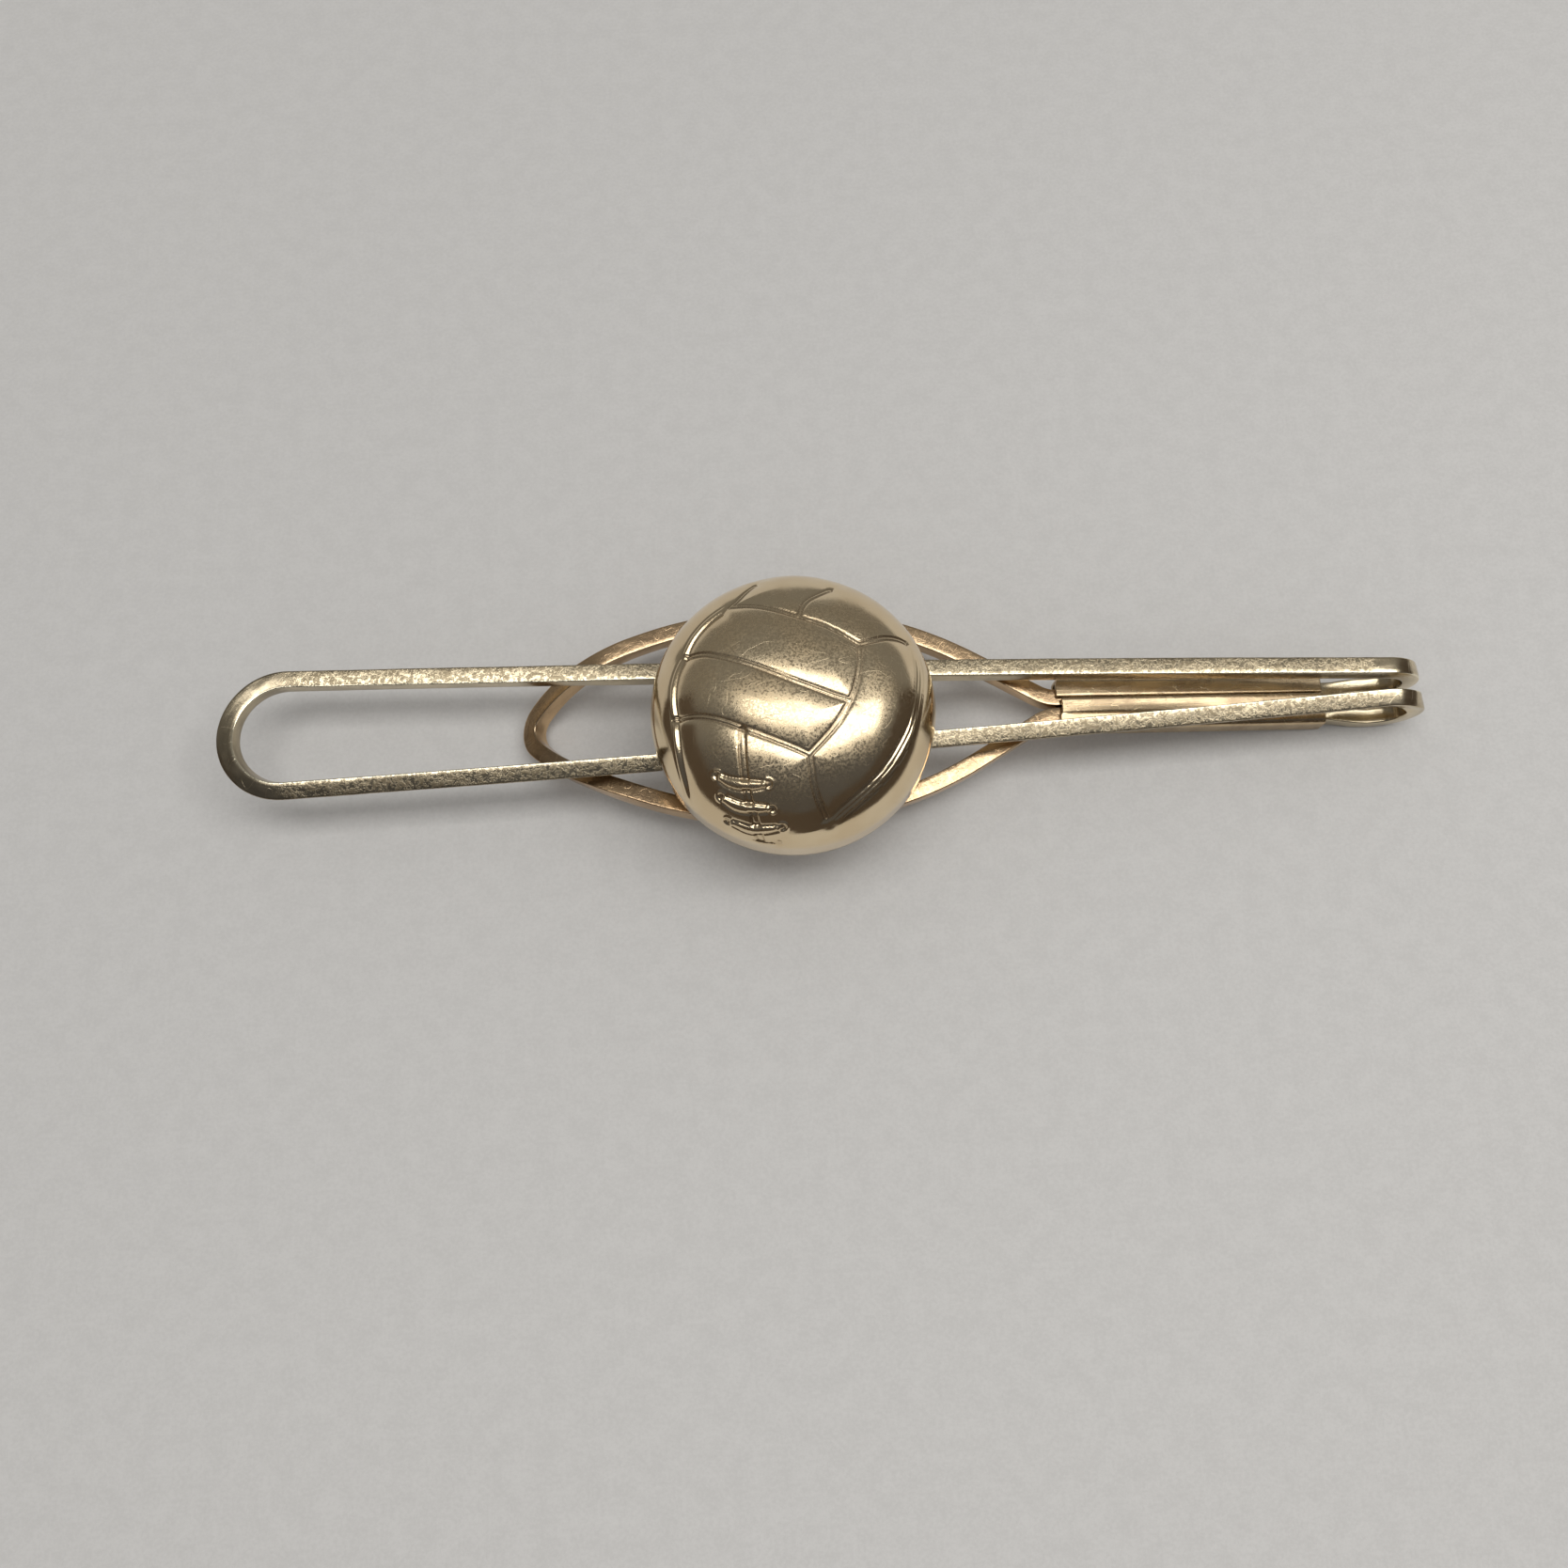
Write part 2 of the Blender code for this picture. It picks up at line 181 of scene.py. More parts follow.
LACES = (
    ((-35, -36), (-30.5, -39), (-25.5, -40.5), (-18, -41), (-12, -40.5)),
    ((-35.5, -47), (-32, -50), (-27, -52.5), (-19, -53), (-11.5, -53)),
    ((-36.5, -62.5), (-31, -65), (-25, -67.5), (-16, -66.5), (-8, -64.5)),
    ((-37, -80), (-28, -80.5), (-19.5, -82), (-11.5, -80)),
)

# Key light and dark flag, in metres and degrees. The key leans towards +X and towards +Y.
KEY_LEAN = (11.0, 4.0)
KEY_DISTANCE = 0.50
KEY_LENGTH = 0.72
KEY_WIDTH = 0.19
KEY_POWER = 1.42
FLAG_RADIUS = 0.080
FLAG_HEIGHT = 0.045
FLAG_ANGLES = (163.0, 378.0)     # anticlockwise from +X

# Camera, in millimetres and degrees
CAMERA_PLACE = (-2.27, -23.28, 73.84)
CAMERA_TILT = 16.0
CAMERA_ROLL = -2.75
CAMERA_LENS = 33.24
CAMERA_SENSOR = 36.0

# Colours
WIRE_GOLD = (0.74, 0.63, 0.44, 1.0)
# Tarnish colour that also paints shade on the front wire's near leg and round end.
WIRE_TARNISH_AND_SHADE = (0.37, 0.315, 0.225, 1.0)
WIRE_PITS = (0.28, 0.225, 0.145, 1.0)
# Pale colour for a painted highlight line along the wires' burnished inner edges.
BURNISHED_HIGHLIGHT = (0.95, 0.88, 0.68, 1.0)
LOOP_COPPER = (0.74, 0.53, 0.32, 1.0)
# Tarnish colour that also paints shade on the left of the rear loop's near arm.
LOOP_TARNISH_AND_SHADE = (0.44, 0.31, 0.19, 1.0)
LOOP_PITS = (0.34, 0.24, 0.14, 1.0)
SLEEVE_BRASS = (0.63, 0.49, 0.31, 1.0)
SLEEVE_TARNISH = (0.49, 0.37, 0.235, 1.0)
SLEEVE_SCRATCH = (0.85, 0.72, 0.48, 1.0)
BALL_GOLD = (0.85, 0.70, 0.475, 1.0)
BALL_CLOUDS = (0.79, 0.63, 0.41, 1.0)
BALL_GROOVES = (0.34, 0.25, 0.16, 1.0)
SOLDER_BRIGHT = (0.62, 0.55, 0.42, 1.0)
SOLDER_CRUST = (0.26, 0.21, 0.15, 1.0)
PAPER_LIGHT = (0.705, 0.70, 0.69, 1.0)
PAPER_DARK = (0.645, 0.64, 0.63, 1.0)
# Painted shade on the paper towards the far left.
PAPER_PAINTED_SHADE = (0.40, 0.40, 0.40, 1.0)
ROOM_DIM = (0.085, 0.085, 0.09, 1.0)
ROOM_PALE = (0.185, 0.18, 0.17, 1.0)
ROOM_FILL = (0.39, 0.38, 0.37, 1.0)
ROOM_BACKDROP = (0.56, 0.56, 0.55, 1.0)
KEY_COLOUR = (1.0, 0.985, 0.955)
FLAG_COLOUR = (0.13, 0.105, 0.085, 1.0)


def smoothstep(low, high, value):
    """0 at low, 1 at high and smooth between them; low may be the larger of the two."""
    share = np.clip((np.asarray(value, float) - low) / (high - low), 0.0, 1.0)
    return share * share * (3.0 - 2.0 * share)


def between(ends, share):
    """The first end at 0, the second at 1."""
    return ends[0] + (ends[1] - ends[0]) * share


def unit_rows(vectors):
    """Each row scaled to a length of 1."""
    return vectors / np.linalg.norm(vectors, axis=1)[:, None]


def soft_noise(points, size, seed):
    """Smooth noise from -1 to 1 whose lumps are about `size` across."""
    shift = Vector((17.3 * seed, -9.1 * seed, 4.7 * seed))
    return np.array([noise.noise(Vector(p) / size + shift) for p in points])


# Meshes

def make_piece(name, points, faces, body, nodes, material, attributes=None):
    """A smooth mesh piece from points in millimetres, standing for the CAD nodes and riding on the body, if
    one is named. The attributes are layers of values, one for each point, that its material reads."""
    mesh = bpy.data.meshes.new(name)
    mesh.from_pydata((np.asarray(points) * MM).tolist(), [], faces)
    mesh.validate()
    for label, values in (attributes or {}).items():
        values = np.asarray(values, np.float32)
        kind = "FLOAT_VECTOR" if values.ndim == 2 else "FLOAT"
        layer = mesh.attributes.new(label, kind, "POINT")
        layer.data.foreach_set("vector" if values.ndim == 2 else "value", values.ravel())
    mesh.shade_smooth()
    mesh.materials.append(material)
    piece = bpy.data.objects.new(name, mesh)
    bpy.context.collection.objects.link(piece)
    if body:
        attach(piece, body)
    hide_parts(*nodes)
    return piece


def grid_faces(rows, columns):
    """Quads between rows of points, each row a ring that closes on itself."""
    faces = []
    for row in range(rows - 1):
        low = row * columns
        for column in range(columns):
            after = (column + 1) % columns
            faces.append((low + column, low + after, low + columns + after, low + columns + column))
    return faces


def end_faces(rows, columns):
    """The two faces that close the first and the last ring of such a grid."""
    last = (rows - 1) * columns
    return [tuple(reversed(range(columns))), tuple(last + column for column in range(columns))]


# Wires

def wire_section(rubbed=RUBBED_SLOPE):
    """The wire's section as (sideways, outward) offsets: a square with slightly bulging faces, rounded
    corners and a worn strip along each inner edge."""
    half = WIRE / 2 - WIRE_CROWN

    def bulge(across):
        return half + WIRE_CROWN * (1.0 - (across / half) ** 2)

    def face(across):
        worn = -across - (half - INNER_CORNER - RUBBED_EDGE)
        return bulge(across) - rubbed * max(0.0, worn)

    outer = half - OUTER_CORNER
    inner = INNER_CORNER - half
    outer_top = face(outer) - OUTER_CORNER
    inner_top = face(inner) - INNER_CORNER
    quarter = np.linspace(0.0, math.pi / 2, CORNER_CUTS)
    upper = [(bulge(up), up) for up in np.linspace(0.0, outer_top, 4)[:-1]]
    upper += [(outer + OUTER_CORNER * math.cos(a), outer_top + OUTER_CORNER * math.sin(a)) for a in quarter]
    upper += [(across, face(across)) for across in np.linspace(outer, inner, 15)[1:-1]]
    upper += [(inner - INNER_CORNER * math.sin(a), inner_top + INNER_CORNER * math.cos(a)) for a in quarter]
    upper += [(-bulge(up), up) for up in np.linspace(inner_top, 0.0, 4)[1:]]
    lower = [(across, -up) for across, up in reversed(upper[1:-1])]
    return np.array(upper + lower)


def resample(points, outs):
    """The same route with evenly spaced points, and how far along it each of them lies."""
    lengths = np.r_[0.0, np.cumsum(np.linalg.norm(np.diff(points, axis=0), axis=1))]
    places = np.linspace(0.0, lengths[-1], int(lengths[-1] / WIRE_STEP) + 1)
    even = np.column_stack([np.interp(places, lengths, points[:, axis]) for axis in range(3)])
    even_outs = np.column_stack([np.interp(places, lengths, outs[:, axis]) for axis in range(3)])
    return even, unit_rows(even_outs), places


def sweep_wire(points, outs, places, roll, seed, rubbed=RUBBED_SLOPE):
    """Carry the wire's section along a route, rolled by an angle and with a slightly uneven surface.

    The third result is each point's place along and across the wire, for the materials."""
    section = wire_section(rubbed)
    along = unit_rows(np.gradient(points, axis=0))
    outs = unit_rows(outs - along * np.sum(outs * along, axis=1)[:, None])
    sides = np.cross(along, outs)
    turned_sides = sides * np.cos(roll)[:, None] + outs * np.sin(roll)[:, None]
    turned_outs = outs * np.cos(roll)[:, None] - sides * np.sin(roll)[:, None]
    rows, columns = len(points), len(section)
    place = np.empty((rows, columns, 3))
    place[:, :, 0] = places[:, None]
    place[:, :, 1:] = section[None]
    place = place.reshape(-1, 3)
    fine = 0.006 * soft_noise(place * (0.5, 1.0, 1.0), 0.35, seed)
    broad = 0.010 * soft_noise(place, 2.2, seed + 1)
    uneven = (fine + broad).reshape(rows, columns)
    offsets = section[None] + unit_rows(section)[None] * uneven[:, :, None]
    verts = points[:, None] + turned_sides[:, None] * offsets[:, :, :1]
    verts += turned_outs[:, None] * offsets[:, :, 1:]
    return verts.reshape(-1, 3), grid_faces(rows, columns) + end_faces(rows, columns), place


def leg_half_gap(x):
    """Half the distance between the legs' middle lines, which narrows to the right."""
    run = x - ROUND_END_X
    return LOOP_RADIUS - LEG_TAPER * run - LEG_BOW * run * run


def strand_height(x):
    return STRAND_START_Z + (STRAND_START_X - x) * math.tan(STRAND_RISE)


def strand_half_gap(x):
    start = leg_half_gap(BEND_X)
    return start + (STRAND_HALF_GAP - start) * smoothstep(0.0, STRAND_SETTLE, STRAND_START_X - x)


def front_route():
    """Strand, spring bend, leg and half the round end on the far side, then the same in mirror image.

    The second result is the direction of the wire's outer face at each point."""
    xs = np.linspace(SLEEVE_MIDDLE + TAIL_GAP / 2, STRAND_START_X, 200)
    strand = np.column_stack([xs, strand_half_gap(xs), strand_height(xs)])
    strand_out = np.tile([-math.sin(STRAND_RISE), 0.0, -math.cos(STRAND_RISE)], (len(xs), 1))
    angles = np.linspace(-math.pi / 2 - BEND_PAST, math.pi / 2, 90)[1:]
    circle = np.column_stack([np.cos(angles), np.zeros_like(angles), np.sin(angles)])
    bend = circle * (BEND_RUN, 1.0, BEND_RADIUS) + (BEND_X, leg_half_gap(BEND_X), BEND_Z)
    bend_out = unit_rows(circle / (BEND_RUN, 1.0, BEND_RADIUS))
    xs = np.linspace(BEND_X, ROUND_END_X, 400)[1:]
    leg = np.column_stack([xs, leg_half_gap(xs), np.full_like(xs, LEG_Z)])
    angles = np.linspace(0.0, math.pi / 2, 80)[1:]
    end = np.column_stack([ROUND_END_X - LOOP_RADIUS * np.sin(angles), LOOP_RADIUS * np.cos(angles),
                           np.full_like(angles, LEG_Z)])
    level_out = np.tile([0.0, 0.0, 1.0], (len(leg) + len(end), 1))
    points = np.vstack([strand, bend, leg, end])
    outs = np.vstack([strand_out, bend_out, level_out])
    points = np.vstack([points, points[-2::-1] * (1.0, -1.0, 1.0)])
    outs = np.vstack([outs, outs[-2::-1]])
    return points + (0.0, WIRE_Y, 0.0), outs


def front_wire(material):
    """The round end, legs, spring bends and strands in one mesh, with painted shade darkening the near
    leg's left half and the round end (a painted shade layer), and with fewer pits on the round end, bends
    and strands (ends)."""
    points, outs, places = resample(*front_route())
    x, y, z = points.T
    near = smoothstep(-2.4, 2.4, WIRE_Y - y)
    near = np.where(x > ROUND_END_X, np.round(near), near)
    on_top = smoothstep(STRAND_TOP, LEG_BASE, z)
    far_lean = between(FAR_LEG_LEAN, smoothstep(-8.0, -15.0, x))
    near_lean = between(NEAR_LEG_LEAN, smoothstep(4.0, -9.0, x))
    roll = np.radians(far_lean * (1 - near) + near_lean * near) * on_top
    strand = (1.0 - on_top) * smoothstep(SLEEVE_RIGHT + 0.1, SLEEVE_RIGHT + 0.8, x)
    roll += np.radians(STRAND_LEAN) * (2.0 * near - 1.0) * strand
    verts, faces, place = sweep_wire(points, outs, places, roll, 1)
    columns = len(wire_section())
    round_end = smoothstep(ROUND_END_X + 0.6, ROUND_END_X - 0.6, x)
    # This layer paints shade: it darkens the colour of the near leg's left half and the round end, for the
    # dark room they reflect.
    painted_shade = np.maximum(near * on_top * smoothstep(6.0, -6.0, x), round_end)
    ends = np.maximum(round_end, smoothstep(BEND_X - 0.9, BEND_X - 0.4, x))
    ends = np.maximum(ends, 1.0 - on_top)
    layers = {"place": place, "painted_shade": np.repeat(painted_shade, columns), "ends": np.repeat(ends, columns)}
    piece = make_piece("front_wire", verts, faces, None,
                       ("front_frame_wire", "return_strand_far", "return_strand_near"),
                       material, layers)
    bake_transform(piece)


def loop_outline():
    """Half the rear loop as (distance from the sleeve, half width), from the sleeve to the tip."""
    outline = [(0.0, TAIL_HALF_GAP)]
    heading = 0.0

    def bend_to(new_heading, radius):
        nonlocal heading
        reach, width = outline[-1]
        turn = math.copysign(radius, new_heading - heading)
        for target in np.linspace(heading, new_heading, 60)[1:]:
            outline.append((reach + turn * (math.sin(target) - math.sin(heading)),
                            width + turn * (math.cos(heading) - math.cos(target))))
        heading = new_heading

    bend_to(*MOUTH_BEND)
    reach, width = outline[-1]
    outline.append((reach + ARM_STRAIGHT * math.cos(heading), width + ARM_STRAIGHT * math.sin(heading)))
    for new_heading, radius in ARM_BENDS:
        bend_to(new_heading, radius)
    bend_to(-math.pi / 2, outline[-1][1] / math.cos(heading))
    return np.array(outline)


def loop_height(x):
    """The loop rises from the sleeve until it meets the legs, then flares away from them."""
    mouth = strand_height(SLEEVE_LEFT)
    rise = LEG_Z - WIRE - CONTACT_GAP - mouth
    height = mouth + rise * (SLEEVE_LEFT - x) / (SLEEVE_LEFT - CONTACT_X)
    flare = np.maximum(0.0, (CONTACT_X - x) / FLARE_RUN)
    return height - FLARE_DROP * flare * flare


def loop_route():
    """Tail, arm and half the tip on the far side, then the same in mirror image, slightly skewed. The
    second result is the direction of the wire's top face at each point."""
    outline = loop_outline()
    tail = np.linspace(SLEEVE_MIDDLE - TAIL_GAP / 2, SLEEVE_LEFT + WIRE, 60)
    xs = np.r_[tail, SLEEVE_LEFT - outline[:, 0]]
    widths = np.r_[np.full_like(tail, TAIL_HALF_GAP), outline[:, 1]]
    heights = np.where(xs > SLEEVE_LEFT, strand_height(xs), loop_height(xs))
    half = np.column_stack([xs, widths, heights])
    points = np.vstack([half, half[-2::-1] * (1.0, -1.0, 1.0)])
    points[:, 1] += WIRE_Y + LOOP_SKEW * np.maximum(0.0, SLEEVE_LEFT - points[:, 0])
    step = 0.05
    slope = (loop_height(points[:, 0] + step) - loop_height(points[:, 0] - step)) / (2 * step)
    slope = np.where(points[:, 0] > SLEEVE_LEFT, -math.tan(STRAND_RISE), slope)
    ups = np.column_stack([-slope, np.zeros_like(slope), np.ones_like(slope)])
    return points, ups


def rear_loop(material):
    """The loop and its two tails, with painted shade darkening the left of the near arm (a painted shade
    layer).
    """
    points, ups, places = resample(*loop_route())
    near = smoothstep(-1.0, 1.0, WIRE_Y - points[:, 1])
    left = smoothstep(4.0, -6.0, points[:, 0])
    free = smoothstep(SLEEVE_LEFT, SLEEVE_LEFT - 2.5, points[:, 0])
    roll = np.radians(between(NEAR_LOOP_LEAN, left) * near) * free
    verts, faces, place = sweep_wire(points, ups, places, roll, 5, 0.3 * RUBBED_SLOPE)
    # This layer paints shade: it darkens the colour on the left of the near arm.
    painted_shade = np.repeat(near * left, len(wire_section()))
    make_piece("rear_loop", verts, faces, "back", ("rear_loop_wire",), material,
               {"place": place, "painted_shade": painted_shade, "ends": np.zeros(len(verts))})


# Sleeve

def rounded_line(corners, radius):
    """A line through corners, each one rounded with an arc, as closely spaced points."""
    corners = [np.array(corner, float) for corner in corners]
    line = [corners[0]]
    for before, corner, after in zip(corners, corners[1:], corners[2:]):
        back = (before - corner) / np.linalg.norm(before - corner)
        ahead = (after - corner) / np.linalg.norm(after - corner)
        half_angle = math.acos(np.clip(back @ ahead, -1.0, 1.0)) / 2
        reach = radius / math.tan(half_angle)
        centre = corner + (back + ahead) / np.linalg.norm(back + ahead) * radius / math.sin(half_angle)
        start = corner + back * reach - centre
        end = corner + ahead * reach - centre
        for share in np.linspace(0.0, 1.0, 9):
            mixed = start * (1 - share) + end * share
            line.append(centre + mixed / np.linalg.norm(mixed) * radius)
    line.append(corners[-1])
    dense = [line[0]]
    for first, second in zip(line, line[1:]):
        pieces = max(1, int(np.linalg.norm(second - first) / 0.09))
        dense += [first + (second - first) * index / pieces for index in range(1, pieces + 1)]
    return np.array(dense)


def sleeve_section():
    """The folded sheet as a closed outline of (across, up), and where each point lies along the sheet."""
    wide = STRAND_HALF_GAP + WIRE / 2 + RUNNING_GAP + SLEEVE_SHEET / 2
    tall = WIRE / 2 + RUNNING_GAP + SLEEVE_SHEET / 2
    edge = SLEEVE_SHEET / 2
    far = wide + SLEEVE_SLACK
    fold_rise, middle_rise, edge_rise = NEAR_FLAP_RISE
    corners = [(SLEEVE_SEAM_Y + FAR_FLAP, tall), (far, tall), (far, -tall), (-wide, -tall),
               (-wide, tall + fold_rise), (NEAR_FLAP_MIDDLE, tall + middle_rise),
               (SLEEVE_SEAM_Y + NEAR_FLAP, tall + edge_rise)]
    middle = rounded_line(corners, SLEEVE_CORNER)
    along = unit_rows(np.gradient(middle, axis=0))
    normal = np.column_stack([along[:, 1], -along[:, 0]])
    outer = middle - normal * edge
    inner = middle + normal * edge
    rounds = np.linspace(0.0, math.pi, SHEET_EDGE_CUTS + 2)[1:-1, None]
    across, ahead = edge * np.cos(rounds), edge * np.sin(rounds)
    end_cap = middle[-1] - normal[-1] * across + along[-1] * ahead
    start_cap = middle[0] + normal[0] * across - along[0] * ahead
    places = np.linspace(0.0, 1.0, len(middle))
    outline = np.vstack([outer, end_cap, inner[::-1], start_cap])
    sheet_place = np.r_[places, np.ones(len(end_cap)), places[::-1], np.zeros(len(start_cap))]
    return outline, sheet_place


def crimp_sleeve(material):
    """The folded sheet drawn out along the strands, with softened ends, a bulge in the near flap and the
    flaps' left ends out of step."""
    outline, sheet_place = sleeve_section()
    ahead = np.roll(outline, -1, axis=0) - np.roll(outline, 1, axis=0)
    inward = unit_rows(np.column_stack([-ahead[:, 1], ahead[:, 0]]))
    middle = outline.mean(axis=0)
    soften = 0.06
    far_flap = 1.0 - smoothstep(0.04, 0.14, sheet_place)
    near_flap = smoothstep(0.80, 0.97, sheet_place)
    start_shift = FAR_FLAP_START * far_flap + NEAR_FLAP_START * near_flap
    rounds = np.linspace(0.0, math.pi / 2, 5)
    rings = [(soften * (1 - math.cos(a)), soften * (1 - math.sin(a))) for a in rounds]
    lengths = np.linspace(soften, SLEEVE_LENGTH - soften, 140)
    stations = [(along, inset) for along, inset in rings]
    stations += [(along, 0.0) for along in lengths[1:-1]]
    stations += [(SLEEVE_LENGTH - along, inset) for along, inset in reversed(rings)]
    slope = np.array([math.cos(STRAND_RISE), 0.0, -math.sin(STRAND_RISE)])
    up = np.array([math.sin(STRAND_RISE), 0.0, math.cos(STRAND_RISE)])
    origin = np.array([SLEEVE_LEFT, WIRE_Y, strand_height(SLEEVE_LEFT)])
    sign = 1.0 if np.sum(inward * (middle - outline)) > 0 else -1.0
    verts = []
    place = []
    for along, inset in stations:
        section = outline + inward * sign * inset
        share = along / SLEEVE_LENGTH
        bulge = FLAP_BULGE * math.sin(math.pi * min(1.0, share / FLAP_BULGE_SHARE))
        shifted = along + start_shift * (1.0 - share)
        lift = bulge * near_flap * (1 - near_flap) * 4
        for (across, height), extra, run in zip(section, lift, shifted):
            verts.append(origin + slope * run + np.array([0.0, across, 0.0]) + up * (height + extra))
            place.append((run, across, height))
    place = np.array(place)
    verts = np.array(verts) + up * (0.008 * soft_noise(place, 1.1, 9))[:, None]
    rows, columns = len(stations), len(outline)
    faces = grid_faces(rows, columns) + sheet_caps(rows, columns)
    make_piece("sleeve", verts, faces, "back", ("crimp_sleeve",), material,
               {"place": place})


def sheet_caps(rows, columns):
    """The two ends of the folded sheet, each one a strip of quads across its thickness."""
    cap = SHEET_EDGE_CUTS
    count = (columns - 2 * cap) // 2
    faces = []
    for base, flip in ((0, True), ((rows - 1) * columns, False)):
        for index in range(count - 1):
            opposite = columns - cap - 1 - index
            quad = [base + index, base + index + 1, base + opposite - 1, base + opposite]
            faces.append(tuple(reversed(quad)) if flip else tuple(quad))
        tip = [base + count - 1 + index for index in range(cap + 2)]
        root = [base + columns - cap - 1 + index for index in range(cap + 1)] + [base]
        faces.append(tuple(reversed(tip)) if flip else tuple(tip))
        faces.append(tuple(reversed(root)) if flip else tuple(root))
    return faces


# Ball

def curve_points(marks):
    """A smooth curve over the dome through angles from its top, as close points in millimetres."""
    marks = np.radians(np.array(marks, float))
    padded = np.vstack([2 * marks[0] - marks[1], marks, 2 * marks[-1] - marks[-2]])
    curve = []
    for p0, p1, p2, p3 in zip(padded, padded[1:], padded[2:], padded[3:]):
        for t in np.linspace(0.0, 1.0, 24, endpoint=False):
            curve.append(0.5 * (2 * p1 + (p2 - p0) * t + (2 * p0 - 5 * p1 + 4 * p2 - p3) * t * t
                                + (3 * p1 - p0 - 3 * p2 + p3) * t ** 3))
    curve.append(marks[-1])
    curve = np.array(curve)
    polar = np.maximum(np.linalg.norm(curve, axis=1), 1e-9)
    level = curve / polar[:, None] * np.sin(polar)[:, None]
    return np.column_stack([level, np.cos(polar)]) * DOME_SHAPE


def distance_to(curve, points):
    """How far points of the dome are from a curve on it, on which side of it (1 is further from the top),
    and how far along it, from 0 to 1."""
    best = np.full(len(points), 99.0)
    side = np.zeros(len(points))
    where = np.zeros(len(points))
    for index, (first, second) in enumerate(zip(curve, curve[1:])):
        line = second - first
        offset = points - first
        share = np.clip((offset @ line) / (line @ line), 0.0, 1.0)
        offset -= share[:, None] * line
        gap = np.linalg.norm(offset, axis=1)
        closer = gap < best
        best[closer] = gap[closer]
        side[closer] = np.sign(offset[closer, :2] @ (first + second)[:2])
        where[closer] = (index + share[closer]) / (len(curve) - 1)
    return best, side, where


def bell(distance, width):
    """1 at no distance, falling to nearly 0 at twice the width."""
    return np.exp(-(distance / width) ** 2)


def step_arc(points, marks, width, depth, bead, ripple, ridges, strength):
    """Height and groove depth of a long arc: the panel sinks towards it, and a facet with ribs or a bead
    climbs from there to the outer band."""
    gap, side, where = distance_to(curve_points(marks), points)
    out = gap * side
    full = strength(where)
    facet = np.clip(out / width + 0.5, 0.0, 1.0)
    panel = np.exp(-np.maximum(0.0, gap - width / 2) / ARC_SLOPE)
    sunk = depth * np.where(out < 0, panel, 1.0) * (1.0 - facet)
    ribs = ripple * np.cos(math.tau * ridges * facet) * (facet > 0) * (facet < 1)
    edges = bell(out - width / 2, 0.05) * 0.03
    groove = np.maximum(bell(out + width / 2, 0.07), bell(out - width / 2, 0.06))
    return (ribs - sunk - edges + bead * bell(out, 0.10)) * full, groove * full


def left_strength(where):
    return smoothstep(0.0, 0.05, where) * (1.0 - 0.5 * smoothstep(0.75, 1.0, where))


def right_strength(where):
    rise = 0.45 * smoothstep(0.0, 0.10, where) + 0.55 * smoothstep(0.30, 0.50, where)
    return rise * (1.0 - smoothstep(0.93, 1.0, where))


def ball_relief(points):
    """Height of the stamped pattern over the dome, and how deep in a groove each point lies."""
    seam = np.full(len(points), 99.0)
    for marks in SEAMS:
        gap, _, where = distance_to(curve_points(marks), points)
        if math.hypot(*marks[-1]) > OPEN_SEAM_ANGLE:
            gap = gap + 0.5 * smoothstep(0.85, 1.0, where)
        seam = np.minimum(seam, gap)
    left, left_groove = step_arc(points, LEFT_ARC, 0.33, 0.16, 0.06, 0.0, 1, left_strength)
    right, right_groove = step_arc(points, RIGHT_ARC, 0.60, 0.12, 0.0, 0.020, 3, right_strength)
    height = -SEAM_SINK * np.exp(-seam / SEAM_SLOPE) + left + right
    height -= CREASE_DEPTH * bell(seam - CREASE, CREASE_WIDTH) - RIDGE_HEIGHT * bell(seam, RIDGE_WIDTH)
    groove = np.maximum(np.maximum(bell(seam - CREASE, 0.06), 0.5 * left_groove), right_groove)
    slit = distance_to(curve_points(LACE_SLIT), points)[0]
    height -= SLIT_DEPTH * smoothstep(0.24, 0.10, slit) + 0.05 * bell(slit - SLIT_EDGE, 0.05)
    groove = np.maximum(groove, bell(slit - SLIT_EDGE, 0.07))
    for marks in LACES:
        curve = curve_points(marks)
        lace, _, where = distance_to(curve, points)
        half_width = LACE_HALF_WIDTH + LACE_SWELL * np.sin(math.pi * where)
        bar = np.sqrt(np.clip(1.0 - (lace / half_width) ** 2, 0.0, 1.0))
        height -= 0.05 * bell(lace - half_width - 0.05, 0.06)
        height = height * (1 - bar) + bar * (0.02 + LACE_RISE * half_width)
        groove = np.maximum(groove * (1 - bar), 0.5 * bell(lace - half_width - 0.03, 0.04))
        for end in (curve[0], curve[-1]):
            gap = np.linalg.norm(points - end, axis=1)
            height += 0.05 * bell(gap - EYELET, 0.06) - 0.12 * bell(gap, 0.11)
            groove = np.maximum(groove, bell(gap, 0.12))
    return height, groove


def square_to_dome(cuts):
    """A square grid laid evenly over a half ball, its border on the rim, as unit directions."""
    side = np.linspace(-1.0, 1.0, cuts + 1)
    a, b = np.meshgrid(side, side, indexing="ij")
    wide = np.abs(a) > np.abs(b)
    safe_a = np.where(a == 0, 1.0, a)
    safe_b = np.where(b == 0, 1.0, b)
    radius = np.where(wide, a, b)
    angle = np.where(wide, math.pi / 4 * b / safe_a, math.pi / 2 - math.pi / 4 * a / safe_b)
    angle = np.where((a == 0) & (b == 0), 0.0, angle)
    level = radius * np.sqrt(np.maximum(0.0, 2.0 - radius ** 2))
    directions = np.stack([level * np.cos(angle), level * np.sin(angle), 1.0 - radius ** 2], axis=-1)
    return directions.reshape(-1, 3)


